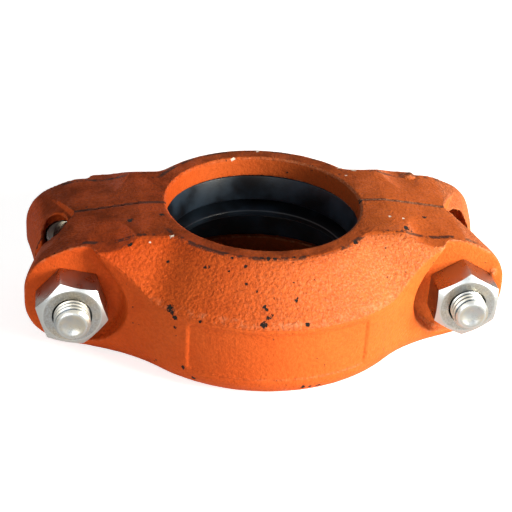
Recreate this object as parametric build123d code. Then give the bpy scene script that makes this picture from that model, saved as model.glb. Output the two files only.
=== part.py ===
"""Reducing grooved pipe coupling: two cast housing halves, a rubber gasket, two track-head
bolts and two heavy hex nuts. It joins a large pipe (below) to a small one (above).

Millimetres. The origin is on the pipes' axis, in the plane of the lower face. +Z is up, along
the pipes, the bolt ears reach out along X, and the nuts face -Y.
"""

import os
from math import asin, atan2, cos, degrees, hypot, pi, radians, sin, sqrt, tan

from build123d import *

os.makedirs("parts", exist_ok=True)

# Pipes and the grooves rolled into their ends
large_pipe_diameter = 88.9
small_pipe_diameter = 73.0
large_groove_depth = 1.98
small_groove_depth = 1.96
key_clearance = 0.8

# Housing body
housing_height = 47.6
band_radius = 59.8
shoulder_run_share = 0.306
shoulder_foot_height = 30.0
shoulder_top_slope = 17.0
shoulder_roll_radius = 10.0
shoulder_overrun = 10.0
base_edge_radius = 10.0
large_key_width = 8.0
small_key_width = 8.2
band_wall = 7.0
cavity_shoulder_height = 27.5
cavity_roof_radius = 43.5
key_edge_chamfer = 0.8

# Name panel on the band: a shallow recess, left bare
panel_half_angle = 32.0
panel_bottom = 9.0
panel_top = 28.4
panel_depth = 0.8
panel_corner_radius = 2.6

# Bolt ears
bolt_spacing = 140.6
ear_thickness = 25.6
ear_overhang = 16.5
ear_top_start = 46.0
ear_height_at_bolt = 40.2
ear_end_height = 25.4
ear_corner_radius = 16.0
ear_shoulder_radius = 18.0
ear_sweep_radius = 57.5
ridge_offset_share = 0.3913
ridge_top_slope = 10.0
ridge_blend_share = 0.265
spot_face_radius = 17.6
spot_face_draft = 8.0
spot_face_edge_round = 2.0
spot_face_tangent_angle = 145.0
joint_start = 68.6
joint_start_at_pad = 81.3
joint_round_centre = 66.0
joint_round_at_pad = 21.6
joint_round_middle = 19.2
left_joint_round = 15.7
right_joint_round = 17.4
pad_wall = 8.6
pocket_width = 19.4
pocket_height = 30.0
pocket_corner_radius = 6.5

# Track-head bolts, 1/2-13 x 2 3/4 in, and their heavy hex nuts
bolt_diameter = 12.6
bolt_length = 69.85
bolt_head_diameter = 26.4
bolt_head_height = 7.9
bolt_head_crown = 2.6
neck_width = 17.5
neck_length = 7.6
bolt_point_chamfer = 1.2
hole_clearance = 0.65
nut_width = 22.2
nut_height = 12.3
nut_chamfer_angle = 30.0
thread_clearance = 0.05
left_nut_turn = -5.5
right_nut_turn = 30.0

# Rubber gasket
gasket_clearance = 0.3
gasket_back = 3.7
lip_thickness = 2.7
lip_length = 9.6
lip_interference = 1.8
lip_mouth_room = 1.2
centre_leg_reach = 4.0
centre_leg_width = 2.4
centre_leg_height = 24.6
lip_edge_round = 0.5

# Sizes that follow from those above
large_key_radius = large_pipe_diameter / 2 - large_groove_depth + key_clearance
small_key_radius = small_pipe_diameter / 2 - small_groove_depth + key_clearance
cavity_radius = band_radius - band_wall
cavity_roof = housing_height - small_key_width
mid_height = housing_height / 2
bolt_x = bolt_spacing / 2
ear_reach = bolt_x + ear_overhang
shoulder_run = shoulder_run_share * band_radius
top_face_radius = band_radius - shoulder_run
ridge_offset = ridge_offset_share * band_radius
ridge_blend_radius = ridge_blend_share * band_radius


def ear_block():
    """Everything inside the ears' rounded outline in elevation. It passes clear of the band."""
    bolt_top = mid_height + ear_height_at_bolt / 2
    slope = (housing_height - bolt_top) / (bolt_x - ear_top_start)
    inner = (ear_top_start / 2, housing_height + slope * ear_top_start / 2)
    upper = [inner, (bolt_x, bolt_top), (ear_reach, mid_height + ear_end_height / 2)]
    right_side = upper + [(x, housing_height - z) for x, z in reversed(upper)]
    left_side = [(-x, z) for x, z in reversed(right_side)]
    outline = make_face(Polyline(*right_side, *left_side, close=True))
    ends = [v for v in outline.vertices() if abs(v.X) > ear_reach - 1]
    outline = fillet(ends, ear_corner_radius)
    bends = [v for v in outline.vertices() if abs(abs(v.X) - bolt_x) < 0.01]
    outline = fillet(bends, ear_shoulder_radius)
    return Pos(0, 1, 0) * extrude(Plane.XZ * outline, band_radius + 2)


def plan_block():
    """The half in plan: the round band, swept in hollow curves out to the bolt pads."""
    sweep_centre_y = ear_thickness + ear_sweep_radius
    sweep_centre_x = sqrt((band_radius + ear_sweep_radius) ** 2 - sweep_centre_y**2)
    band = Circle(band_radius)
    ears = Pos(0, -ear_thickness / 2) * Rectangle(2 * ear_reach, ear_thickness)
    plan = band + ears
    for side in (-1, 1):
        centre = (side * sweep_centre_x, -sweep_centre_y)
        web = make_face(Polyline((0, 0), (side * sweep_centre_x, 0), centre, close=True))
        plan += web - Pos(*centre) * Circle(ear_sweep_radius)
    front_half = Pos(0, -band_radius) * Rectangle(2 * ear_reach + 2, 2 * band_radius)
    return extrude(plan & front_half, housing_height)


def base_rounding(solid):
    """Rounds the lower outer edge, from the band out along the ears."""
    edges = [
        e
        for e in solid.edges()
        if abs(e.center().Z) < 0.01 and e.center().Y < -0.5 and abs(e.center().X) < ear_reach - 0.5
    ]
    return fillet(edges, base_edge_radius)


def shoulder_section(start, top_slope):
    """Section of a shoulder: it rolls off the top face at start, then runs straight past its foot."""
    lean = radians(top_slope)
    centre_x = start - shoulder_roll_radius * sin(lean)
    centre_z = housing_height - shoulder_roll_radius * cos(lean)
    along = start + shoulder_run - centre_x
    down = centre_z - shoulder_foot_height
    steepest = atan2(down, along) + asin(shoulder_roll_radius / hypot(along, down))
    roll_start = 90 - degrees(steepest)
    roll = CenterArc((centre_x, centre_z), shoulder_roll_radius, roll_start, degrees(steepest - lean))
    roll_end = (
        centre_x + shoulder_roll_radius * sin(steepest),
        centre_z + shoulder_roll_radius * cos(steepest),
    )
    far_x = start + shoulder_run + shoulder_overrun
    far_z = shoulder_foot_height - shoulder_overrun * tan(steepest)
    under = [roll_end, (far_x, far_z), (far_x, -1), (0, -1), (0, housing_height), (start, housing_height)]
    return make_face([roll, Polyline(*under)])


def shoulder_block():
    """Everything under the rounded shoulder, which runs round the top face and along the ears."""
    dome = revolve(Plane.XZ * shoulder_section(top_face_radius, shoulder_top_slope), Axis.Z)
    ramp_plane = Plane(origin=(0, 0, 0), x_dir=(0, -1, 0), z_dir=(-1, 0, 0))
    ramp = extrude(ramp_plane * shoulder_section(ridge_offset, ridge_top_slope), ear_reach + 5, both=True)
    front = Pos(0, -2 * band_radius, mid_height) * Box(8 * band_radius, 4 * band_radius, 4 * band_radius)
    block = (dome & front) + ramp
    valleys = [
        e
        for e in block.edges()
        if e.center().Y < -ridge_offset
        and ridge_offset < abs(e.center().X) < ear_top_start
        and -1 < e.center().Z < housing_height
    ]
    return fillet(valleys, ridge_blend_radius)


def turned(points):
    """Solid of revolution about the pipes' axis, from (radius, height) points."""
    return revolve(Plane.XZ * make_face(Polyline(*points, close=True)), Axis.Z)


def cavity():
    """The bore through both keys and the chamber that holds the gasket."""
    chamber = turned(
        [
            (0, large_key_width),
            (cavity_radius, large_key_width),
            (cavity_radius, cavity_shoulder_height),
            (cavity_roof_radius, cavity_roof),
            (0, cavity_roof),
        ]
    )
    large_key = turned(
        [
            (0, 0),
            (large_key_radius + key_edge_chamfer, 0),
            (large_key_radius, key_edge_chamfer),
            (large_key_radius, large_key_width),
            (0, large_key_width),
        ]
    )
    small_key = turned(
        [
            (0, cavity_roof),
            (small_key_radius, cavity_roof),
            (small_key_radius, housing_height - key_edge_chamfer),
            (small_key_radius + key_edge_chamfer, housing_height),
            (0, housing_height),
        ]
    )
    return chamber + large_key + small_key


def bolt_plane(side, y):
    """Plane across a bolt's axis at y, facing the nuts."""
    return Plane(origin=(side * bolt_x, y, mid_height), x_dir=(1, 0, 0), z_dir=(0, -1, 0))


def bolt_hole(side):
    """Oval hole through an ear, long way out along X, which also takes the bolt's oval neck."""
    width = neck_width + 2 * hole_clearance
    height = bolt_diameter + 2 * hole_clearance
    oval = bolt_plane(side, 0.5) * SlotOverall(width, height)
    return extrude(oval, ear_thickness + 1)


def spot_face(side):
    """Wrench room in front of a bolt pad: round, but open towards the top, and wider at its mouth."""
    depth = band_radius - ear_thickness
    angle = radians(spot_face_tangent_angle)
    foot = (spot_face_radius * cos(angle), spot_face_radius * sin(angle))
    far = (foot[0] + 2 * spot_face_radius * sin(angle), foot[1] - 2 * spot_face_radius * cos(angle))
    opening = make_face(Polyline((0, 0), foot, far, (2 * spot_face_radius, far[1]), close=True))
    outline = Circle(spot_face_radius) + opening
    if side < 0:
        outline = mirror(outline, Plane.YZ)
    tool = extrude(outline, depth, taper=-spot_face_draft)
    tool = fillet(tool.edges().group_by(Axis.Z)[0], spot_face_edge_round)
    return bolt_plane(side, -ear_thickness) * tool


def joint_rounding(side, joint_radius):
    """Waste outside an ear's outboard end, which draws in towards the joint face."""
    arc = ThreePointArc(
        (joint_radius, 0), (joint_round_middle, -ear_thickness / 2), (joint_round_at_pad, -ear_thickness)
    )
    rest = Polyline(
        (joint_round_at_pad, -ear_thickness),
        (joint_round_at_pad, -ear_thickness - 5),
        (0, -ear_thickness - 5),
        (0, 1),
        (joint_radius, 1),
        (joint_radius, 0),
    )
    kept = Pos(joint_round_centre, 0, mid_height) * revolve(make_face([arc, rest]), Axis.Y)
    far = ear_reach + 5
    corners = [(joint_start, 1), (joint_start, 0), (joint_start_at_pad, -ear_thickness)]
    corners += [(joint_start_at_pad, -ear_thickness - 4), (far, -ear_thickness - 4), (far, 1)]
    waste = extrude(make_face(Polyline(*corners, close=True)), housing_height) - kept
    return mirror(waste, Plane.YZ) if side < 0 else waste


def joint_pocket(side):
    """Pocket in the joint face around a bolt, leaving a wall at the pad to carry the load."""
    mouth = bolt_plane(side, 0) * RectangleRounded(pocket_width, pocket_height, pocket_corner_radius)
    return extrude(mouth, ear_thickness - pad_wall)


def panel_recess():
    """Shallow recess with rounded corners, following the band."""
    width = 2 * band_radius * sin(radians(panel_half_angle))
    height = panel_top - panel_bottom
    window = Plane(
        origin=(0, -2 * band_radius, (panel_top + panel_bottom) / 2), x_dir=(1, 0, 0), z_dir=(0, -1, 0)
    )
    prism = extrude(window * RectangleRounded(width, height, panel_corner_radius), -1.7 * band_radius)
    skin = Pos(0, 0, mid_height) * Cylinder(band_radius + 5, housing_height)
    skin -= Pos(0, 0, mid_height) * Cylinder(band_radius - panel_depth, housing_height)
    return prism & skin


def housing_half():
    """The front half, which lies at y <= 0. The rear half is the same casting, turned round."""
    half = base_rounding(plan_block()) & shoulder_block() & ear_block()
    half -= cavity() + panel_recess()
    half -= joint_rounding(-1, left_joint_round)
    half -= joint_rounding(1, right_joint_round)
    for side in (-1, 1):
        half -= spot_face(side)
        half -= bolt_hole(side)
        half -= joint_pocket(side)
    return half


def gasket():
    """C-shaped seal with a lip for each pipe and a leg between the pipe ends."""
    low = large_key_width + gasket_clearance
    high = cavity_roof - gasket_clearance
    back = cavity_radius - gasket_clearance
    knee = cavity_shoulder_height - gasket_clearance / 2
    roof = cavity_roof_radius - gasket_clearance
    upper_mouth = small_key_radius + lip_mouth_room
    lower_mouth = large_key_radius + lip_mouth_room
    upper_tip = small_pipe_diameter / 2 - lip_interference
    lower_tip = large_pipe_diameter / 2 - lip_interference
    leg_tip = small_pipe_diameter / 2 - centre_leg_reach
    leg_low = centre_leg_height - centre_leg_width / 2
    leg_high = centre_leg_height + centre_leg_width / 2
    section = [
        (lower_mouth, low),
        (back, low),
        (back, knee),
        (roof, high),
        (upper_mouth, high),
        (upper_tip, high - lip_length),
        (upper_tip + lip_thickness, high - lip_length),
        (upper_mouth + lip_thickness, high - lip_thickness - 0.6),
        (roof - 2.2, high - lip_thickness - 0.6),
        (back - gasket_back - 2.0, knee + 1.6),
        (back - gasket_back - 2.0, leg_high + 1.0),
        (leg_tip, leg_high),
        (leg_tip, leg_low),
        (back - gasket_back, leg_low - 1.0),
        (back - gasket_back, low + lip_thickness + 0.6),
        (lower_mouth + lip_thickness, low + lip_thickness + 0.6),
        (lower_tip + lip_thickness, low + lip_length),
        (lower_tip, low + lip_length),
    ]
    outline = make_face(Polyline(*section, close=True))
    return revolve(Plane.XZ * fillet(outline.vertices(), lip_edge_round), Axis.Z)


def track_bolt(side):
    """Button head, oval neck that keys into the rear ear, and the shank."""
    seat = ear_thickness
    facing_nut = bolt_plane(side, seat)
    shank = Pos(0, 0, bolt_length / 2) * Cylinder(bolt_diameter / 2, bolt_length)
    shank = chamfer(shank.edges().sort_by(Axis.Z)[-1], bolt_point_chamfer)
    neck = extrude(SlotOverall(neck_width, bolt_diameter), neck_length)
    head = Pos(0, 0, -bolt_head_height / 2) * Cylinder(bolt_head_diameter / 2, bolt_head_height)
    head = fillet(head.edges().sort_by(Axis.Z)[0], bolt_head_height - bolt_head_crown)
    return facing_nut * (head + neck + shank)


def heavy_nut(side, turn):
    """Hex nut, chamfered at its outer face, flat where it bears on the pad."""
    corner_radius = nut_width / 2 / cos(pi / 6)
    hexagon = extrude(RegularPolygon(nut_width / 2, 6, major_radius=False), nut_height)
    cone_height = nut_height + nut_width / 2 * tan(radians(nut_chamfer_angle))
    cone_base = cone_height / tan(radians(nut_chamfer_angle))
    cap = Pos(0, 0, cone_height / 2) * Cone(cone_base, 0.01, cone_height)
    blank = hexagon & (cap + Cylinder(nut_width, nut_height / 2))
    bore = Cylinder(bolt_diameter / 2 + thread_clearance, 3 * nut_height)
    return bolt_plane(side, -ear_thickness) * Rot(0, 0, turn) * (blank - bore)


def save(solid, name):
    """Writes one sub-part under its name."""
    solid.label = name
    export_step(solid, f"parts/{name}.step")


front_half = housing_half()
save(front_half, "front_housing")
save(Rot(0, 0, 180) * front_half, "rear_housing")
save(gasket(), "gasket")
save(track_bolt(-1), "left_bolt")
save(track_bolt(1), "right_bolt")
save(heavy_nut(-1, left_nut_turn), "left_nut")
save(heavy_nut(1, right_nut_turn), "right_nut")
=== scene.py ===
"""Looks of a reducing grooved pipe coupling: two cast housing halves, a rubber gasket, two
track-head bolts and two heavy hex nuts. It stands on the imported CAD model, in metres.
"""

from math import cos, floor, pi, radians, sin, tan

import bpy
from mathutils import Matrix, Vector


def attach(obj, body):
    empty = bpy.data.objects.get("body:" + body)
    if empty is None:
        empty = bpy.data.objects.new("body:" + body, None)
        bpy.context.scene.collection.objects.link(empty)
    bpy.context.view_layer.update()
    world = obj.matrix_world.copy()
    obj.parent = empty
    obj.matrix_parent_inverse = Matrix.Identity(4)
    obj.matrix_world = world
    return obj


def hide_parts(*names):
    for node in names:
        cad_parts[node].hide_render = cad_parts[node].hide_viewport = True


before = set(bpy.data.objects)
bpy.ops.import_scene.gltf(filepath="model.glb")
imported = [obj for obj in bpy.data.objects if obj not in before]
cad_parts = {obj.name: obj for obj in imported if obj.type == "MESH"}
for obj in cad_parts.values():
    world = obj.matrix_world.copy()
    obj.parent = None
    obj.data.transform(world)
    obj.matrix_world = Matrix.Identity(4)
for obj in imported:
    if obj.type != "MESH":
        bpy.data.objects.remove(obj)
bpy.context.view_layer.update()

mm = 0.001
scene = bpy.context.scene
scene.view_settings.view_transform = "Standard"
bpy.ops.object.select_all(action="DESELECT")


# Camera
# It looks down on the nuts' side from a little to the left, and is tipped slightly, as a
# camera held by hand is.

camera_turn = radians(-9.5)
camera_height = radians(32.62)
camera_tip = radians(3.8)
camera_distance = 508.8 * mm
camera_aim = Vector((0, 0, 0.9 * mm))

camera_pose = (
    Matrix.Rotation(camera_turn, 4, "Z")
    @ Matrix.Rotation(pi / 2 - camera_height, 4, "X")
    @ Matrix.Rotation(camera_tip, 4, "Z")
)
bpy.ops.object.camera_add()
camera = bpy.context.active_object
camera.matrix_world = camera_pose
camera.location = camera_aim + camera_pose.col[2].to_3d() * camera_distance
camera.data.sensor_width = 36
camera.data.lens = 93.0
camera.data.shift_x = -0.0006
camera.data.shift_y = 0.1014
camera.data.clip_start = 0.01
scene.camera = camera


# Housing halves
# Two ductile-iron castings from one pattern, painted orange. They meet on the joint face,
# and each has a bolt ear at both ends. Handling has worn the paint off their edges. Their
# colour also holds painted light: brighter to the right, with painted shade on the top faces,
# in the hollows, in the keys and along the joint, and a painted sheen on the slope.

casting_grid = 0.70 * mm
casting_weld = 0.001 * mm
seam_weld = 0.002 * mm
casting_soft_rounds = 2
casting_wave_size = 6 * mm
casting_wave_height = 0.22 * mm
hollow_angle = radians(60)
bright_orange = (0.76, 0.165, 0.030, 1)
deep_orange = (0.56, 0.072, 0.010, 1)
shaded_orange = (0.30, 0.038, 0.007, 1)
# Rubbed paint, and painted sheen on the slope.
worn_and_sheen_orange = (0.74, 0.34, 0.18, 1)
bright_chip = (0.80, 0.72, 0.62, 1)
# Grime, and painted shade on the top faces, in the hollows and down in the keys.
grime_and_shade = (0.085, 0.017, 0.005, 1)
# Bare iron in chips; also the black of dirt and painted shade along the top face's edges and in the joint's
# line.
bare_iron_and_shade = (0.020, 0.016, 0.014, 1)
top_face_height = 47.6 * mm
ear_opening_x = 76.8 * mm
ear_opening_height = 41 * mm
ear_opening_size = (5.6 * mm, 7.6 * mm, 9.5 * mm)
ridge_end = 53 * mm
ridge_end_slope = radians(12)
scallop_place = (60.5 * mm, 26.9 * mm, 44.2 * mm)
scallop_radius = 30 * mm
scallop_length = 40 * mm
scallop_slope = radians(5.1)


def select_only(piece):
    """Makes the piece active, with nothing else selected."""
    bpy.ops.object.select_all(action="DESELECT")
    piece.select_set(True)
    bpy.context.view_layer.objects.active = piece


def edit_all(piece):
    """Opens the piece in edit mode with all of it selected."""
    select_only(piece)
    bpy.ops.object.mode_set(mode="EDIT")
    bpy.ops.mesh.select_all(action="SELECT")


def apply_modifier(piece, modifier):
    """Makes a modifier's result the piece's own mesh."""
    select_only(piece)
    bpy.ops.object.modifier_apply(modifier=modifier.name)


def combine(body, tool, operation):
    """Joins, cuts or keeps what body shares with tool, welds the seam and clears the tool away."""
    modifier = body.modifiers.new("combine", "BOOLEAN")
    modifier.operation = operation
    modifier.solver = "EXACT"
    modifier.object = tool
    apply_modifier(body, modifier)
    bpy.data.objects.remove(tool)
    edit_all(body)
    bpy.ops.mesh.remove_doubles(threshold=seam_weld)
    bpy.ops.object.mode_set(mode="OBJECT")


def dress(piece, body, node, material):
    """The piece rides on the body, stands for the CAD node and shows the material."""
    piece.data.materials.clear()
    piece.data.materials.append(material)
    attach(piece, body)
    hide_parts(node)


def round_opening(piece, place):
    """Rounds the opening that the joint's pocket leaves in an ear at the place."""
    bpy.ops.object.select_all(action="DESELECT")
    bpy.ops.mesh.primitive_uv_sphere_add(segments=48, ring_count=24, radius=1, location=place)
    opening = bpy.context.active_object
    opening.scale = ear_opening_size
    bpy.ops.object.transform_apply(location=True, rotation=True, scale=True)
    combine(piece, opening, "DIFFERENCE")


def ease_ridge(piece, side, half):
    """Slopes the end of a ridge down, and hollows it where it meets the spot face's opening."""
    edit_all(piece)
    bpy.ops.mesh.bisect(
        plane_co=(side * ridge_end, 0, top_face_height),
        plane_no=(side * sin(ridge_end_slope), 0, cos(ridge_end_slope)),
        use_fill=True, clear_outer=True,
    )
    bpy.ops.object.mode_set(mode="OBJECT")
    bpy.ops.object.select_all(action="DESELECT")
    x, y, z = scallop_place
    bpy.ops.mesh.primitive_cylinder_add(
        vertices=192, radius=scallop_radius, depth=scallop_length,
        location=(side * x, half * y, z + scallop_radius / cos(scallop_slope)),
        rotation=(pi / 2 - half * scallop_slope, 0, 0),
    )
    scallop = bpy.context.active_object
    bpy.ops.object.transform_apply(location=True, rotation=True, scale=True)
    combine(piece, scallop, "DIFFERENCE")


def casting(node, name, half, lumps):
    """The node's shape as a casting has it: soft edges, slightly uneven walls, and lumps.

    half is the side of the joint that it lies on, -1 at the nuts and 1 at the bolt heads.
    """
    piece = bpy.data.objects.new(name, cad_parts[node].data.copy())
    scene.collection.objects.link(piece)
    edit_all(piece)
    bpy.ops.mesh.remove_doubles(threshold=casting_weld)
    bpy.ops.object.mode_set(mode="OBJECT")
    for side in (-1, 1):
        for height in (ear_opening_height, top_face_height - ear_opening_height):
            round_opening(piece, (side * ear_opening_x, 0, height))
        ease_ridge(piece, side, half)
    edit_all(piece)
    bpy.ops.mesh.select_all(action="DESELECT")
    for place, size in lumps:
        bpy.ops.mesh.primitive_ico_sphere_add(subdivisions=3, radius=size, location=place)
    bpy.ops.object.mode_set(mode="OBJECT")
    grid = piece.modifiers.new("grid", "REMESH")
    grid.mode = "VOXEL"
    grid.voxel_size = casting_grid
    apply_modifier(piece, grid)
    soften = piece.modifiers.new("soften", "SMOOTH")
    soften.factor = 0.5
    soften.iterations = casting_soft_rounds
    apply_modifier(piece, soften)
    wave = bpy.data.textures.new(name + "_wave", "CLOUDS")
    wave.noise_scale = casting_wave_size
    wave.noise_depth = 2
    uneven = piece.modifiers.new("uneven", "DISPLACE")
    uneven.texture = wave
    uneven.texture_coords = "LOCAL"
    uneven.strength = casting_wave_height
    uneven.mid_level = 1.0
    apply_modifier(piece, uneven)
    bpy.ops.object.shade_smooth()
    # The hollows attribute measures how hollow or open each point is; the paint darkens the hollows with
    # grime and painted shade.
    piece.data.color_attributes.new("hollows", "BYTE_COLOR", "CORNER")
    piece.data.color_attributes.active_color = piece.data.color_attributes["hollows"]
    bpy.ops.paint.vertex_color_dirt(blur_strength=0.6, blur_iterations=2, dirt_angle=hollow_angle)
    return piece


class Shading:
    """A material's nodes, with short ways to add the ones that its pattern needs."""

    def __init__(self, name):
        self.material = bpy.data.materials.new(name)
        self.material.use_nodes = True
        self.tree = self.material.node_tree
        self.shader = self.tree.nodes["Principled BSDF"]
        self.place = self.tree.nodes.new("ShaderNodeTexCoord").outputs["Object"]

    def node(self, kind, **inputs):
        """New node whose inputs are set by name, with _ for a space."""
        made = self.tree.nodes.new(kind)
        for name, value in inputs.items():
            self.feed(made.inputs[name.replace("_", " ")], value)
        return made

    def feed(self, socket, value):
        """Links the value to the socket, or sets it there when it is a constant."""
        if isinstance(value, bpy.types.NodeSocket):
            self.tree.links.new(value, socket)
        else:
            socket.default_value = value

    def noise(self, size, detail=3.0, roughness=0.55, shift=(0, 0, 0)):
        """Cloudy pattern whose patches are about size metres across, from 0 to 1."""
        placed = self.node("ShaderNodeMapping", Vector=self.place, Location=shift)
        made = self.node("ShaderNodeTexNoise", Vector=placed.outputs[0], Scale=1 / size)
        made.inputs["Detail"].default_value = detail
        made.inputs["Roughness"].default_value = roughness
        return made.outputs[0]

    def ramp(self, value, low, high, to_low=0.0, to_high=1.0):
        """Value stretched smoothly so that low becomes to_low and high becomes to_high."""
        made = self.tree.nodes.new("ShaderNodeMapRange")
        made.interpolation_type = "SMOOTHSTEP"
        for socket, number in zip(made.inputs, (value, low, high, to_low, to_high)):
            self.feed(socket, number)
        return made.outputs[0]

    def math(self, operation, first, second=0.0):
        """Result of one Math node."""
        made = self.tree.nodes.new("ShaderNodeMath")
        made.operation = operation
        for socket, number in zip(made.inputs, (first, second)):
            self.feed(socket, number)
        return made.outputs[0]

    def times(self, first, *others):
        """The values multiplied together."""
        for other in others:
            first = self.math("MULTIPLY", first, other)
        return first

    def most(self, first, *others):
        """The greatest of the values."""
        for other in others:
            first = self.math("MAXIMUM", first, other)
        return first

    def apart(self, value, centre):
        """How far the value is from the centre, on either side."""
        return self.math("ABSOLUTE", self.math("SUBTRACT", value, centre))

    def length(self, across, along):
        """Length of a line from its two sides."""
        squares = [self.math("POWER", side, 2.0) for side in (across, along)]
        return self.math("SQRT", self.math("ADD", *squares))

    def mix(self, share, first, second):
        """Colour that goes from first to second as the share goes from 0 to 1."""
        made = self.tree.nodes.new("ShaderNodeMix")
        made.data_type = "RGBA"
        self.feed(made.inputs[0], share)
        self.feed(made.inputs[6], first)
        self.feed(made.inputs[7], second)
        return made.outputs[2]

    def height_map(self, *layers):
        """Bump from several (height, depth in metres) layers."""
        normal = None
        for height, depth in layers:
            bump = self.node("ShaderNodeBump", Height=height, Distance=depth)
            if normal:
                self.feed(bump.inputs["Normal"], normal)
            normal = bump.outputs[0]
        self.feed(self.shader.inputs["Normal"], normal)

    def split(self, vector):
        """The vector's x, y and z."""
        made = self.node("ShaderNodeSeparateXYZ", Vector=vector)
        return made.outputs[0], made.outputs[1], made.outputs[2]


top_face_edge = 41.5 * mm
ridge_line = 23.4 * mm
shoulder_foot = 30.0 * mm
band_radius = 59.8 * mm
large_key_radius = 43.3 * mm
small_key_radius = 35.3 * mm
spot_raggedness = 2.6
spot_edge = (2.15, 1.95)
paint_specular = 0.08
peel_depth = 0.62 * mm
sand_depth = 0.10 * mm
coat_depth = 0.12 * mm


class CastingPaint(Shading):
    """Orange paint on a casting. Its measures say where on the housing a point lies."""

    def __init__(self, name, seed):
        super().__init__(name)
        self.seed = seed
        self.x, y, self.z = self.split(self.place)
        normal = self.tree.nodes.new("ShaderNodeTexCoord").outputs["Normal"]
        self.facing_up = self.split(normal)[2]
        hollows = self.node("ShaderNodeAttribute")
        hollows.attribute_name = "hollows"
        self.openness = hollows.outputs["Fac"]
        self.around = self.length(self.x, y)
        self.off_middle = self.math("ABSOLUTE", self.x)
        self.off_joint = self.math("ABSOLUTE", y)
        self.on_slope = self.times(
            self.ramp(self.facing_up, 0.25, 0.5), self.ramp(self.facing_up, 0.97, 0.93)
        )
        self.grain = self.noise(1.2 * mm, detail=2.0, roughness=0.6)
        self.smudged = self.noise(9 * mm, detail=6.0, roughness=0.65, shift=seed)

    def coat(self):
        """Colour of the paint, brighter to the right as painted light, with darker grain on the slope."""
        patches = self.noise(24 * mm, detail=4.0, shift=self.seed)
        # Painted light: the paint gets brighter towards the right, where the light falls.
        painted_light_rightward = self.times(self.ramp(self.x, -60 * mm, 70 * mm), 0.75)
        bright = self.math("ADD", painted_light_rightward, self.ramp(patches, 0.3, 0.7, 0.0, 0.25))
        colour = self.mix(bright, deep_orange, bright_orange)
        mottle = self.ramp(self.grain, 0.38, 0.58, 0.40, 0.0)
        mottle = self.times(mottle, self.ramp(self.on_slope, 0.0, 1.0, 0.45, 1.0))
        return self.mix(mottle, colour, shaded_orange)

    def film_and_shade(self):
        """Share of dark film and painted shade, on the top face and the ears' tops and inside the keys."""
        on_ear = self.ramp(self.off_middle, 58 * mm, 66 * mm)
        on_ear_top = self.times(on_ear, self.ramp(self.facing_up, 0.5, 0.75))
        on_top = self.most(self.ramp(self.facing_up, 0.955, 0.985), on_ear_top)
        on_top = self.times(on_top, self.ramp(self.smudged, 0.35, 0.7, 0.42, 0.80))
        # Painted light: less film towards the right, where the top faces are lit.
        on_top = self.times(on_top, self.ramp(self.x, 26 * mm, 48 * mm, 1.0, 0.40))
        # Painted shade down in the large key, and in the small key more to the right.
        in_large_key = self.times(
            self.ramp(self.around, large_key_radius + 1.3 * mm, large_key_radius + 0.5 * mm),
            self.ramp(self.z, 14 * mm, 10 * mm, 0.0, 0.7),
        )
        in_small_key = self.times(
            self.ramp(self.around, small_key_radius + 2.2 * mm, small_key_radius + 0.9 * mm),
            self.ramp(self.x, -28 * mm, 26 * mm, 0.0, 0.62),
        )
        return self.most(on_top, in_large_key, in_small_key)

    def hollow_grime_and_shade(self):
        """Share of grime and painted shade gathered in hollows."""
        in_hollow = self.ramp(self.openness, 0.42, 0.2)
        return self.times(in_hollow, self.ramp(self.grain, 0.3, 0.6, 0.7, 0.3))

    def line_dirt_and_shade(self):
        """Share of black along the top face's edges, dirt with painted shade of the crease, and painted
        shade in the joint's line.
        """
        off_rim = self.apart(self.around, top_face_edge)
        off_ridge = self.apart(self.off_joint, ridge_line)
        past_rim = self.ramp(self.around, 43 * mm, 46 * mm)
        off_crease = self.math(
            "ADD",
            self.times(off_ridge, past_rim),
            self.times(off_rim, self.math("SUBTRACT", 1.0, past_rim)),
        )
        gathered = self.noise(5 * mm, detail=6.0, roughness=0.75, shift=self.seed)
        # Dirt and painted shade along the crease at the top face's edge.
        in_crease = self.times(
            self.ramp(off_crease, 1.3 * mm, 0.5 * mm),
            self.ramp(gathered, 0.46, 0.54),
            self.ramp(self.z, 40 * mm, 43 * mm, 0.0, 0.85),
            self.ramp(self.off_joint, 17 * mm, 22 * mm),
        )
        # Painted shade in the gap between the halves.
        in_joint = self.times(
            self.ramp(self.off_joint, 1.1 * mm, 0.5 * mm),
            self.ramp(self.facing_up, 0.1, 0.3, 0.0, 0.85),
        )
        return self.most(in_crease, in_joint)

    def wear_and_sheen(self):
        """Share of pale paint: rubbed wear on outer edges and at the slope's foot, stronger to the right as
        painted light, and dust on the slope with a painted sheen that grows to the right.
        """
        high_edge = self.times(
            self.ramp(self.openness, 0.57, 0.72), self.ramp(self.off_joint, 1.2 * mm, 2.4 * mm)
        )
        off_foot = self.apart(self.z, shoulder_foot + 1.4 * mm)
        on_band = self.times(
            self.ramp(self.around, band_radius - 3.5 * mm, band_radius - 2.2 * mm),
            self.ramp(self.off_middle, 46 * mm, 40 * mm),
        )
        foot_edge = self.times(self.ramp(off_foot, 1.7 * mm, 0.3 * mm), on_band)
        rubbed = self.noise(2.6 * mm, detail=5.0, roughness=0.7, shift=self.seed)
        edges = self.times(
            self.most(high_edge, foot_edge),
            self.ramp(rubbed, 0.42, 0.68, 0.0, 0.62),
            # Painted light: the worn edges grow paler towards the right, where the light falls.
            self.ramp(self.x, -45 * mm, 40 * mm, 0.4, 1.0),
        )
        speckle = self.noise(0.8 * mm, detail=3.0, roughness=0.65)
        # Dust on the slope, with a painted sheen that grows towards the right.
        dust_and_sheen = self.times(
            self.on_slope,
            self.ramp(speckle, 0.46, 0.66, 0.25, 1.0),
            self.ramp(self.x, -35 * mm, 45 * mm, 0.0, 0.42),
        )
        return self.most(edges, dust_and_sheen)

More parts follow.
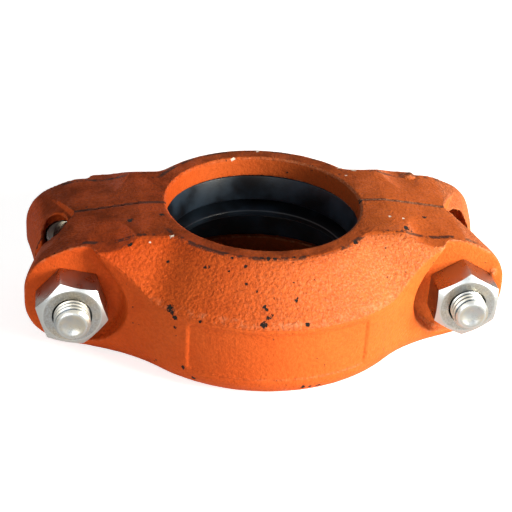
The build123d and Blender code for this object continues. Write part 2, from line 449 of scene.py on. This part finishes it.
    def specks(self):
        """Share of small bare specks, which come in sparse groups."""
        fine = self.noise(1.7 * mm, detail=2.0, roughness=0.5, shift=self.seed)
        sparse = self.noise(16 * mm, detail=2.0, shift=self.seed)
        return self.times(self.ramp(fine, 0.70, 0.73), self.ramp(sparse, 0.5, 0.6))

    def spots(self, places, edge_noise):
        """1 inside ragged spots at (x, y, z, radius) places in millimetres, and 0 outside."""
        nearest = 9.0
        for x, y, z, radius in places:
            off_spot = self.node("ShaderNodeVectorMath", Vector=self.place)
            off_spot.operation = "DISTANCE"
            off_spot.inputs[1].default_value = (x * mm, y * mm, z * mm)
            in_radii = self.math("DIVIDE", off_spot.outputs["Value"], radius * mm)
            nearest = self.math("MINIMUM", nearest, in_radii)
        ragged = self.math("ADD", nearest, self.times(edge_noise, spot_raggedness))
        return self.ramp(ragged, *spot_edge)


def casting_paint(name, chips, bright_chips, seed):
    """Orange paint over cast iron, with grime and painted shade on top and chips at the given places."""
    paint = CastingPaint(name, seed)
    film_and_shade = paint.film_and_shade()
    edge_noise = paint.noise(1.1 * mm, detail=3.0, roughness=0.7)
    chipped = paint.most(paint.spots(chips, edge_noise), paint.specks())
    colour = paint.mix(film_and_shade, paint.coat(), grime_and_shade)
    colour = paint.mix(paint.hollow_grime_and_shade(), colour, grime_and_shade)
    colour = paint.mix(paint.line_dirt_and_shade(), colour, bare_iron_and_shade)
    colour = paint.mix(paint.wear_and_sheen(), colour, worn_and_sheen_orange)
    colour = paint.mix(chipped, colour, bare_iron_and_shade)
    colour = paint.mix(paint.spots(bright_chips, edge_noise), colour, bright_chip)
    paint.feed(paint.shader.inputs["Base Color"], colour)

    gloss = paint.ramp(paint.smudged, 0.3, 0.7, 0.46, 0.58)
    paint.feed(paint.shader.inputs["Roughness"], paint.math("ADD", gloss, paint.times(film_and_shade, 0.3)))
    paint.shader.inputs["Specular IOR Level"].default_value = paint_specular

    peel = paint.noise(1.1 * mm, detail=2.5, roughness=0.55)
    peel = paint.times(peel, paint.ramp(paint.on_slope, 0.0, 1.0, 0.55, 1.0))
    sand = paint.noise(0.5 * mm, detail=2.0)
    unchipped = paint.math("SUBTRACT", 1.0, chipped)
    paint.height_map((peel, peel_depth), (sand, sand_depth), (unchipped, coat_depth))
    return paint.material


front_lumps = [((82.3 * mm, -25.7 * mm, 30.4 * mm), 1.5 * mm)]
rear_lumps = [((60.5 * mm, 24.0 * mm, 43.9 * mm), 2.4 * mm)]
front_chips = [
    (-37.2, -45.6, 31.1, 1.6), (-36.6, -47.0, 30.2, 1.0), (-35.8, -47.8, 28.6, 1.2),
    (-35.6, -48.0, 24.7, 0.8), (-27.8, -52.8, 30.1, 0.8), (-6.1, -53.6, 36.2, 1.0),
    (-5.7, -54.4, 35.4, 0.8), (-4.9, -56.4, 33.4, 1.1), (-3.6, -55.9, 33.9, 0.6),
    (-6.9, -57.9, 31.6, 1.3), (-6.0, -58.2, 31.4, 0.8), (4.7, -52.5, 37.5, 0.7),
    (5.2, -52.1, 38.0, 0.6), (8.2, -58.0, 31.3, 0.9), (-11.8, -47.6, 41.4, 0.7),
    (-8.5, -49.9, 39.7, 0.6), (-16.1, -39.6, 47.1, 0.8), (-11.8, -43.4, 45.7, 0.8),
    (-25.2, -39.8, 43.6, 0.7), (-17.3, -43.3, 44.1, 0.6), (-23.8, -40.2, 44.0, 0.6),
    (-37.3, -32.5, 41.8, 0.7), (-32.6, -50.1, 9.6, 1.1), (-28.9, -51.1, 5.5, 1.1),
    (-3.9, -41.1, 47.6, 1.1), (-6.0, -40.7, 47.6, 0.9), (-1.6, -41.3, 47.6, 0.9),
    (5.0, -40.7, 47.6, 0.9), (28.2, -30.8, 47.5, 1.3), (-50.0, -27.3, 46.0, 1.0),
    (-49.2, -12.3, 47.1, 1.5), (-37.8, -9.2, 47.6, 1.1), (48.9, -20.6, 47.2, 1.6),
    (50.8, -22.1, 46.9, 1.2), (58.3, -10.6, 45.7, 1.1), (35.9, -1.0, 47.5, 1.2), (8.6, -57.9, 5.1, 1.2),
    (11.2, -57.3, 4.9, 1.0), (14.2, -56.4, 4.6, 0.9),
]
front_bright_chips = [
    (49.5, -13.6, 47.1, 0.7), (44.5, -13.0, 47.6, 0.7), (-35.4, -24.5, 47.4, 0.9), (-43.1, -26.7, 46.4, 0.7),
]
rear_chips = [
    (-30.0, 12.0, 47.6, 0.9), (22.0, 52.0, 38.0, 1.2), (-12.0, 57.5, 31.5, 1.4), (40.0, 46.0, 14.0, 1.0),
]
rear_bright_chips = [
    (3.5, 41.3, 47.5, 1.2), (34.5, 19.6, 47.6, 0.7), (38.5, 24.0, 47.4, 1.2), (33.0, 26.5, 47.4, 0.9),
    (-7.2, 35.0, 47.0, 1.0),
]

front_casting = casting("front_housing", "front_casting", -1, front_lumps)
front_paint = casting_paint("orange_paint_front", front_chips, front_bright_chips, (0.0, 0.0, 0.0))
dress(front_casting, "front_half", "front_housing", front_paint)

rear_casting = casting("rear_housing", "rear_casting", 1, rear_lumps)
rear_paint = casting_paint("orange_paint_rear", rear_chips, rear_bright_chips, (1.7, 0.4, 0.9))
dress(rear_casting, "rear_half", "rear_housing", rear_paint)


# Gasket
# A moulded EPDM ring of C section. A lip reaches down onto each pipe, and a leg between them
# keeps the two pipe ends apart. It lies free in the chamber between the housings' keys.

gasket_steps = 168
gasket_corner = 0.5 * mm
deep_black = (0.003, 0.003, 0.004, 1)
# Blue-black that stands in for the rubber's bluish sheen: a painted sheen.
sheen_blue_black = (0.014, 0.026, 0.042, 1)
rubber_sheen = (0.55, 0.68, 0.9, 1)
gasket_section = [
    (44.47, 8.30), (52.50, 8.30), (52.50, 27.35), (43.20, 39.10), (36.54, 39.10), (34.70, 29.50),
    (37.40, 29.50), (39.24, 35.80), (41.00, 35.80), (46.80, 28.95), (46.80, 26.80), (32.50, 25.80),
    (32.50, 23.40), (48.80, 22.40), (48.80, 11.60), (47.17, 11.60), (45.35, 17.90), (42.65, 17.90),
]


def pick_vertices(piece, wanted):
    """Opens the piece in edit mode with only the vertices selected whose place is wanted."""
    edit_all(piece)
    bpy.ops.mesh.select_mode(type="VERT")
    bpy.ops.mesh.select_all(action="DESELECT")
    bpy.ops.object.mode_set(mode="OBJECT")
    for vertex in piece.data.vertices:
        vertex.select = wanted(vertex.co)
    bpy.ops.object.mode_set(mode="EDIT")


def line_through(name, points, closed):
    """Edges through (radius, height) points, drawn by extruding one vertex after another."""
    bpy.ops.object.select_all(action="DESELECT")
    bpy.ops.mesh.primitive_plane_add(size=1 * mm)
    piece = bpy.context.active_object
    piece.name = name
    bpy.ops.object.mode_set(mode="EDIT")
    bpy.ops.mesh.select_mode(type="VERT")
    bpy.ops.mesh.select_all(action="SELECT")
    bpy.ops.mesh.merge(type="CENTER")
    at = Vector((0, 0, 0))
    for number, (radius, height) in enumerate(points):
        target = Vector((radius, 0, height))
        if number:
            bpy.ops.mesh.extrude_vertices_move(TRANSFORM_OT_translate={"value": target - at})
        else:
            bpy.ops.transform.translate(value=target - at)
        at = target
    bpy.ops.object.mode_set(mode="OBJECT")
    if closed:
        ends = [Vector((radius, 0, height)) for radius, height in (points[0], points[-1])]
        pick_vertices(piece, lambda place: any((place - end).length < seam_weld for end in ends))
        bpy.ops.mesh.edge_face_add()
        bpy.ops.object.mode_set(mode="OBJECT")
    return piece


def turn_round(piece, steps):
    """Spins the piece's line round the Z axis into a closed skin that faces outwards."""
    edit_all(piece)
    bpy.ops.mesh.spin(steps=steps, angle=2 * pi, center=(0, 0, 0), axis=(0, 0, 1))
    bpy.ops.mesh.select_all(action="SELECT")
    bpy.ops.mesh.remove_doubles(threshold=seam_weld)
    bpy.ops.mesh.normals_make_consistent(inside=False)
    bpy.ops.object.mode_set(mode="OBJECT")


def moulded_ring():
    """The gasket: its section with rounded corners, turned into a ring."""
    ring = line_through("gasket_ring", [(r * mm, h * mm) for r, h in gasket_section], closed=True)
    edit_all(ring)
    bpy.ops.mesh.bevel(offset=gasket_corner, segments=4, affect="VERTICES")
    bpy.ops.object.mode_set(mode="OBJECT")
    turn_round(ring, gasket_steps)
    select_only(ring)
    bpy.ops.object.shade_smooth_by_angle(angle=radians(35))
    return ring


def black_rubber():
    """Smooth black rubber with a faint blue painted sheen in patches."""
    rubber = Shading("black_rubber")
    sheen_patches = rubber.ramp(rubber.noise(14 * mm, detail=5.0), 0.35, 0.7)
    rubber.feed(rubber.shader.inputs["Base Color"], rubber.mix(sheen_patches, deep_black, sheen_blue_black))
    rubber.feed(rubber.shader.inputs["Roughness"], rubber.ramp(sheen_patches, 0.0, 1.0, 0.30, 0.46))
    rubber.shader.inputs["Specular IOR Level"].default_value = 0.28
    rubber.shader.inputs["Sheen Weight"].default_value = 0.05
    rubber.shader.inputs["Sheen Tint"].default_value = rubber_sheen
    rubber.height_map((rubber.noise(0.7 * mm, detail=3.0), 0.03 * mm))
    return rubber.material


gasket_ring = moulded_ring()
dress(gasket_ring, "seal", "gasket", black_rubber())


# Track bolts
# Two 1/2-13 steel bolts with a domed head and an oval neck, which sits in the rear ear's oval
# hole so that the bolt can't turn. The thread is rolled and the whole bolt is zinc plated.

bolt_x = 70.3 * mm
bolt_height = 23.8 * mm
bolt_seat = 25.6 * mm
bolt_length = 69.85 * mm
bolt_radius = 6.3 * mm
shank_radius = 6.32 * mm
head_radius = 13.2 * mm
head_height = 7.9 * mm
head_round = 5.2 * mm
neck_width = 17.5 * mm
neck_radius = 6.35 * mm
neck_length = 7.6 * mm
neck_overlap = 1 * mm
thread_start = 27.0 * mm
thread_pitch = 25.4 / 13 * mm
thread_depth = 1.15 * mm
tip_radius = 5.15 * mm
tip_chamfer = 1.25 * mm
dish_radius = 3.7 * mm
dish_depth = 1.0 * mm
rod_overlap = 0.5 * mm
turn_steps = 64
cool_zinc = (0.46, 0.50, 0.53, 1)
straw_zinc = (0.58, 0.55, 0.47, 1)
dull_zinc = (0.25, 0.22, 0.19, 1)
# Dirt and painted shade in the thread's valleys.
thread_dirt_and_shade = (0.05, 0.075, 0.10, 1)
# Painted highlight on rims, lips and chamfers.
zinc_highlight = (0.60, 0.63, 0.64, 1)
# Painted reflection of the orange housing on the nut's flats.
zinc_orange_reflection = (0.26, 0.20, 0.17, 1)


def threaded_rod(name, low, high, grow=0.0):
    """Closed rod with a 60-degree thread from low to high, in step with every other one."""
    crest = thread_pitch / 8
    flank = thread_depth * tan(radians(30))
    root = thread_pitch - crest - 2 * flank
    outer = bolt_radius + grow
    inner = outer - thread_depth
    first = floor(low / thread_pitch) * thread_pitch - thread_pitch
    heights = [0, crest, crest + flank, crest + flank + root, thread_pitch]
    turn = [(r, first + h) for r, h in zip((outer, outer, inner, inner, outer), heights)]
    rod = line_through(name, turn, closed=False)
    screw = rod.modifiers.new("screw", "SCREW")
    screw.axis = "Z"
    screw.angle = 2 * pi
    screw.screw_offset = thread_pitch
    screw.iterations = int((high - first) / thread_pitch) + 2
    screw.steps = turn_steps
    screw.render_steps = turn_steps
    apply_modifier(rod, screw)
    edit_all(rod)
    bpy.ops.mesh.remove_doubles(threshold=seam_weld)
    bpy.ops.mesh.bisect(plane_co=(0, 0, low), plane_no=(0, 0, 1), use_fill=True, clear_inner=True)
    bpy.ops.mesh.select_all(action="SELECT")
    bpy.ops.mesh.bisect(plane_co=(0, 0, high), plane_no=(0, 0, 1), use_fill=True, clear_outer=True)
    bpy.ops.mesh.select_all(action="SELECT")
    bpy.ops.mesh.normals_make_consistent(inside=False)
    bpy.ops.object.mode_set(mode="OBJECT")
    return rod


def set_in_ear(piece, side, seat):
    """Lays a piece that stands on Z down along a bolt's axis, with its foot at y = seat."""
    select_only(piece)
    piece.rotation_euler = (pi / 2, 0, 0)
    piece.location = (side * bolt_x, seat, bolt_height)
    bpy.ops.object.transform_apply(location=True, rotation=True, scale=True)


def bolt_forging(name):
    """Head, oval neck and plain shank, with the head's bearing face at zero."""
    forging = line_through(
        name,
        [(0, -head_height), (head_radius, -head_height), (head_radius, 0), (shank_radius, 0),
         (shank_radius, thread_start), (0, thread_start)],
        closed=False,
    )
    pick_vertices(forging, lambda place: place.x > head_radius - 0.1 * mm and place.z < -0.1 * mm)
    bpy.ops.mesh.bevel(offset=head_round, segments=9, affect="VERTICES")
    bpy.ops.object.mode_set(mode="OBJECT")
    turn_round(forging, turn_steps)

    bpy.ops.object.select_all(action="DESELECT")
    bpy.ops.mesh.primitive_cylinder_add(
        vertices=turn_steps, radius=neck_radius, depth=neck_length + neck_overlap,
        location=(0, 0, (neck_length - neck_overlap) / 2),
    )
    neck = bpy.context.active_object
    for side in (-1, 1):
        pick_vertices(neck, lambda place: side * place.x > 0.01 * mm)
        bpy.ops.transform.translate(value=(side * (neck_width / 2 - neck_radius), 0, 0))
        bpy.ops.object.mode_set(mode="OBJECT")
    combine(forging, neck, "UNION")
    return forging


def rolled_thread():
    """The bolt's threaded end, with a chamfered tip and a dish in it."""
    rod = threaded_rod("rod", thread_start - rod_overlap, bolt_length + 1 * mm)
    blank = line_through(
        "blank",
        [(0, 0), (head_radius, 0), (head_radius, bolt_length - tip_chamfer - 4 * mm),
         (bolt_radius + 0.5 * mm, bolt_length - tip_chamfer - 0.5 * mm),
         (tip_radius, bolt_length - 0.15 * mm), (tip_radius - 0.35 * mm, bolt_length),
         (dish_radius + 0.3 * mm, bolt_length), (dish_radius - 0.25 * mm, bolt_length - 0.2 * mm),
         (dish_radius * 0.6, bolt_length - 0.8 * dish_depth), (0, bolt_length - dish_depth)],
        closed=False,
    )
    turn_round(blank, turn_steps)
    combine(rod, blank, "INTERSECT")
    return rod


def track_bolt(name):
    """One bolt, standing on Z with its head's bearing face at zero."""
    bolt = bolt_forging(name)
    combine(bolt, rolled_thread(), "UNION")
    select_only(bolt)
    bpy.ops.object.shade_smooth_by_angle(angle=radians(38))
    return bolt


def zinc_plate(name, seed):
    """Bright zinc plate with a faint blue and straw cast.

    Gives the shading, its colour so far and the distance from the bolt's axis.
    """
    zinc = Shading(name)
    x, _, z = zinc.split(zinc.place)
    across = zinc.math("SUBTRACT", zinc.math("ABSOLUTE", x), bolt_x)
    upward = zinc.math("SUBTRACT", z, bolt_height)
    off_axis = zinc.length(across, upward)
    cast = zinc.ramp(zinc.noise(7 * mm, detail=3.0, shift=seed), 0.35, 0.65)
    colour = zinc.mix(cast, cool_zinc, straw_zinc)
    stain = zinc.ramp(zinc.noise(2.5 * mm, detail=5.0, roughness=0.7, shift=seed), 0.58, 0.72, 0.0, 0.35)
    colour = zinc.mix(stain, colour, dull_zinc)
    zinc.shader.inputs["Metallic"].default_value = 1.0
    rough = zinc.ramp(zinc.noise(4 * mm, detail=2.0), 0.3, 0.7, 0.26, 0.36)
    zinc.feed(zinc.shader.inputs["Roughness"], rough)
    zinc.height_map((zinc.noise(0.8 * mm, detail=2.0), 0.012 * mm))
    return zinc, colour, off_axis


def bolt_finish():
    """Zinc plate with dirt and painted shade down in the thread, but not on the rolled tip, and a painted
    highlight on the tip's rim.
    """
    zinc, colour, off_axis = zinc_plate("zinc_plating_bolt", (0.0, 0.0, 0.0))
    tip = bolt_seat - bolt_length
    # Dirt and painted shade down in the thread's valleys.
    in_thread = zinc.ramp(off_axis, bolt_radius - 0.2 * mm, bolt_radius - 0.8 * mm)
    along = zinc.split(zinc.place)[1]
    behind_tip = zinc.ramp(along, tip + 1.2 * mm, tip + 1.8 * mm)
    threaded = zinc.times(behind_tip, zinc.ramp(along, 1 * mm, -1 * mm))
    colour = zinc.mix(zinc.times(in_thread, threaded), colour, thread_dirt_and_shade)
    # Painted highlight on the rim of the tip.
    off_rim = zinc.apart(off_axis, tip_radius - 0.3 * mm)
    on_rim = zinc.times(zinc.ramp(off_rim, 0.5 * mm, 0.2 * mm), zinc.ramp(behind_tip, 0.6, 0.0))
    colour = zinc.mix(on_rim, colour, zinc_highlight)
    zinc.feed(zinc.shader.inputs["Base Color"], colour)
    return zinc.material


bolt_zinc = bolt_finish()
for side, place in ((-1, "left"), (1, "right")):
    bolt = track_bolt(place + "_threaded_bolt")
    set_in_ear(bolt, side, bolt_seat)
    dress(bolt, "rear_half", place + "_bolt", bolt_zinc)


# Nuts
# Two heavy hex nuts, forged, tapped and zinc plated. Their outer face is chamfered to a round
# bearing face, and their thread runs on the bolt's with a little play.

nut_width = 22.2 * mm
nut_height = 12.3 * mm
nut_face_radius = 10.25 * mm
nut_chamfer = radians(30)
nut_crease = radians(22)
nut_edge_round = 0.25 * mm
nut_foot_chamfer = 0.6 * mm
nut_play = 0.10 * mm
tap_mouth_radius = 6.95 * mm
left_nut_turn = radians(-13)
right_nut_turn = radians(30)


def hex_nut(name, turn):
    """One nut, standing on Z on its bearing face, with its thread in step with the bolt's."""
    corner = nut_width / 2 / cos(pi / 6)
    bpy.ops.object.select_all(action="DESELECT")
    bpy.ops.mesh.primitive_cylinder_add(
        vertices=6, radius=corner, depth=nut_height, location=(0, 0, nut_height / 2)
    )
    nut = bpy.context.active_object
    nut.name = name
    bpy.ops.object.transform_apply(location=True)
    bpy.ops.object.mode_set(mode="EDIT")
    bpy.ops.mesh.select_mode(type="EDGE")
    bpy.ops.mesh.select_all(action="DESELECT")
    bpy.ops.object.mode_set(mode="OBJECT")
    for edge in nut.data.edges:
        ends = [nut.data.vertices[v].co for v in edge.vertices]
        edge.select = abs(ends[0].z - ends[1].z) > nut_height / 2
    bpy.ops.object.mode_set(mode="EDIT")
    bpy.ops.mesh.bevel(offset=nut_edge_round, segments=2, affect="EDGES")
    bpy.ops.object.mode_set(mode="OBJECT")
    nut.rotation_euler = (0, 0, turn + radians(30))
    bpy.ops.object.transform_apply(rotation=True)

    far = corner + 2 * mm
    drop = (far - nut_face_radius) * tan(nut_chamfer)
    foot_drop = (far - corner + nut_foot_chamfer) * tan(nut_chamfer)
    blank = line_through(
        "nut_blank",
        [(0, 0), (corner - nut_foot_chamfer, 0), (far, foot_drop), (far, nut_height - drop),
         (nut_face_radius, nut_height), (0, nut_height)],
        closed=False,
    )
    turn_round(blank, 96)
    combine(nut, blank, "INTERSECT")

    grip = 2 * bolt_seat
    tap = threaded_rod("tap", grip - 2 * mm, grip + nut_height + 2 * mm, grow=nut_play)
    tap.location.z = -grip
    combine(nut, tap, "DIFFERENCE")
    for height, sign in ((0.0, 1), (nut_height, -1)):
        mouth = line_through(
            "mouth",
            [(0, height - sign * 1 * mm), (tap_mouth_radius + 1 * mm, height - sign * 1 * mm),
             (tap_mouth_radius - 1.6 * mm, height + sign * 1.6 * mm), (0, height + sign * 1.6 * mm)],
            closed=False,
        )
        turn_round(mouth, 96)
        combine(nut, mouth, "DIFFERENCE")
    select_only(nut)
    bpy.ops.object.shade_smooth_by_angle(angle=nut_crease)
    return nut


def nut_finish():
    """Zinc plate with a painted reflection of the orange housing on the flats, grain on the bearing face,
    painted highlights on the chamfer and the lip, and painted shade in the thread.
    """
    zinc, colour, off_axis = zinc_plate("zinc_plating_nut", (0.3, 0.8, 0.1))
    normal = zinc.tree.nodes.new("ShaderNodeTexCoord").outputs["Normal"]
    facing_out = zinc.math("ABSOLUTE", zinc.split(normal)[1])
    outer = zinc.ramp(off_axis, 9 * mm, 9.5 * mm)

    # Painted reflection: the flats take a brown cast from the orange housing beside them.
    on_flat = zinc.times(zinc.ramp(facing_out, 0.6, 0.3, 0.0, 0.8), outer)
    colour = zinc.mix(on_flat, colour, zinc_orange_reflection)
    # Painted highlight on the chamfer.
    on_chamfer = zinc.times(zinc.ramp(facing_out, 0.5, 0.7), zinc.ramp(facing_out, 0.97, 0.93), outer)
    colour = zinc.mix(on_chamfer, colour, zinc_highlight)

    grain = zinc.ramp(zinc.noise(0.7 * mm, detail=3.0, roughness=0.7), 0.35, 0.65, 0.0, 0.5)
    on_face = zinc.ramp(facing_out, 0.97, 0.99)
    colour = zinc.mix(zinc.times(on_face, grain), colour, dull_zinc)
    # Painted highlight: a thin bright ring at the bearing face's lip.
    off_lip = zinc.apart(off_axis, nut_face_radius - 0.15 * mm)
    on_lip = zinc.ramp(off_lip, 0.45 * mm, 0.15 * mm)
    on_lip = zinc.times(on_lip, zinc.ramp(facing_out, 0.6, 0.8, 0.0, 0.85))
    colour = zinc.mix(on_lip, colour, zinc_highlight)

    # Painted shade down in the tapped bore.
    in_thread = zinc.ramp(off_axis, tap_mouth_radius - 0.1 * mm, tap_mouth_radius - 0.7 * mm)
    zinc.feed(zinc.shader.inputs["Base Color"], zinc.mix(in_thread, colour, thread_dirt_and_shade))
    return zinc.material


nut_zinc = nut_finish()
for side, place, turn in ((-1, "left", left_nut_turn), (1, "right", right_nut_turn)):
    nut = hex_nut(place + "_hex_nut", turn)
    set_in_ear(nut, side, -bolt_seat)
    dress(nut, place + "_nut_body", place + "_nut", nut_zinc)


# Floor and light
# A sheet of white paper under three soft lamps: a strong one low at the right, a wide one at
# the front left and a weak one behind. The paper also glows a little, for the camera alone.

floor_size = 6.0
paper_white = (0.86, 0.86, 0.86, 1)
paper_glow = 0.74
room_glow = 0.15
lamp_aim = Vector((0, 0, 20 * mm))
lamp_places = (
    ("key", (0.60, -0.42, 0.26), 0.26, 10.5, (1.0, 0.94, 0.82)),
    ("fill", (-0.35, -0.95, 0.30), 0.6, 3.6, (1.0, 0.97, 0.93)),
    ("back", (-0.3, 0.8, 0.9), 0.7, 0.8, (1.0, 0.98, 0.95)),
)


def white_paper():
    """White paper that is lit by the lamps and glows for the camera."""
    paper = Shading("white_paper")
    paper.shader.inputs["Base Color"].default_value = paper_white
    paper.shader.inputs["Roughness"].default_value = 0.8
    seen = paper.node("ShaderNodeLightPath").outputs["Is Camera Ray"]
    glow = paper.node("ShaderNodeEmission", Strength=paper.times(seen, paper_glow))
    both = paper.node("ShaderNodeAddShader")
    paper.feed(both.inputs[0], paper.shader.outputs[0])
    paper.feed(both.inputs[1], glow.outputs[0])
    paper.feed(paper.tree.nodes["Material Output"].inputs["Surface"], both.outputs[0])
    return paper.material


bpy.ops.object.select_all(action="DESELECT")
bpy.ops.mesh.primitive_plane_add(size=floor_size, location=(0, 0, -0.05 * mm))
table_top = bpy.context.active_object
table_top.name = "table_top"
table_top.data.materials.append(white_paper())

for name, place, size, power, tint in lamp_places:
    bpy.ops.object.light_add(type="AREA", location=place)
    lamp = bpy.context.active_object
    lamp.name = name + "_lamp"
    lamp.data.size = size
    lamp.data.energy = power
    lamp.data.color = tint
    lamp.rotation_euler = (Vector(place) - lamp_aim).to_track_quat("Z", "Y").to_euler()

room = bpy.data.worlds.new("room")
scene.world = room
room.use_nodes = True
room_light = room.node_tree.nodes["Background"]
room_light.inputs["Color"].default_value = (1, 1, 1, 1)
room_sight = room.node_tree.nodes.new("ShaderNodeLightPath")
room_seen = room.node_tree.nodes.new("ShaderNodeMath")
room_seen.operation = "MAXIMUM"
room.node_tree.links.new(room_sight.outputs["Is Camera Ray"], room_seen.inputs[0])
room.node_tree.links.new(room_sight.outputs["Is Glossy Ray"], room_seen.inputs[1])
room_strength = room.node_tree.nodes.new("ShaderNodeMapRange")
room_strength.inputs["To Min"].default_value = room_glow
room.node_tree.links.new(room_seen.outputs[0], room_strength.inputs["Value"])
room.node_tree.links.new(room_strength.outputs[0], room_light.inputs["Strength"])
